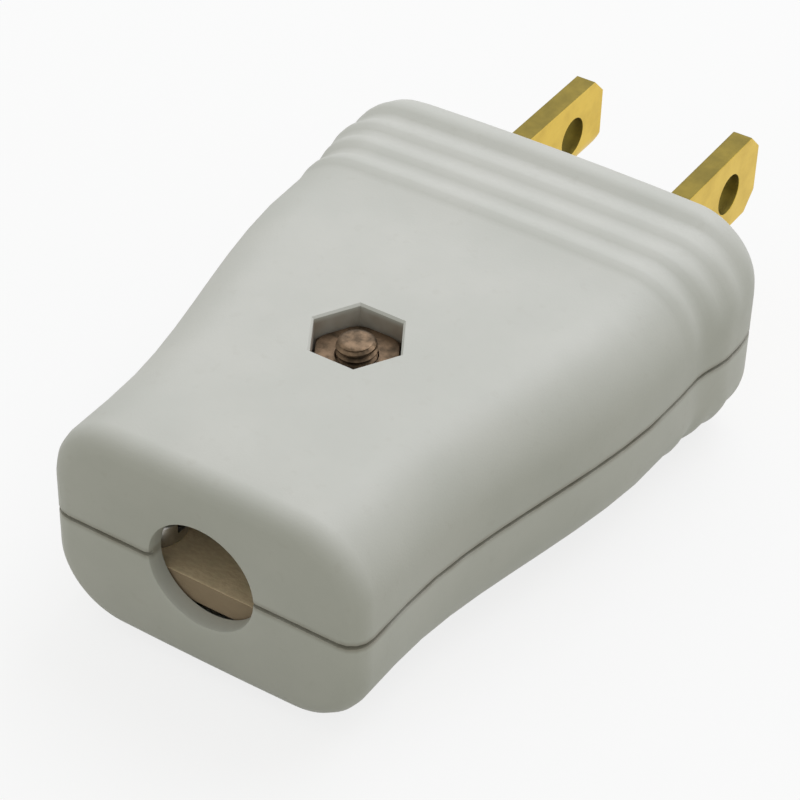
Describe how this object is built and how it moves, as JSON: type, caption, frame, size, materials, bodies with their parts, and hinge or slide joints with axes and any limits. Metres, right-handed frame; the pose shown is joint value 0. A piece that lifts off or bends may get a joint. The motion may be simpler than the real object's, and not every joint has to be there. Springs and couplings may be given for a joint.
{
  "type": "two-pole electrical plug",
  "caption": "Rewirable electrical plug: waisted two-part housing held by a central screw and nut, ridged grip, flat brass blades, round cord entry.",
  "frame": {"origin": "middle of the blade face, midway between the blades, on the seam of the two halves", "axes": "+X along the width, +Y the way the blades point, +Z towards the half that holds the nut"},
  "size_m": [0.0316, 0.0575, 0.0162],
  "materials": {
    "shell_plastic": "fine satin moulded surface, off-white",
    "blade_brass": "bare stamped brass, lightly brushed",
    "screw_brass": "dulled brown brass",
    "screw_steel": "plated steel",
    "clamp_fibre": "brown vulcanised fibre"
  },
  "bodies": {
    "root": {"upper_shell": "shell_plastic", "lower_shell": "shell_plastic", "left_blade": "blade_brass", "right_blade": "blade_brass", "left_terminal_screw": "screw_steel", "right_terminal_screw": "screw_steel", "left_terminal_washer": "screw_steel", "right_terminal_washer": "screw_steel", "left_cord_clamp_screw": "screw_steel", "right_cord_clamp_screw": "screw_steel", "assembly_screw": "screw_brass", "assembly_nut": "screw_brass", "cord_clamp_bar": "clamp_fibre"}
  },
  "joints": []
}
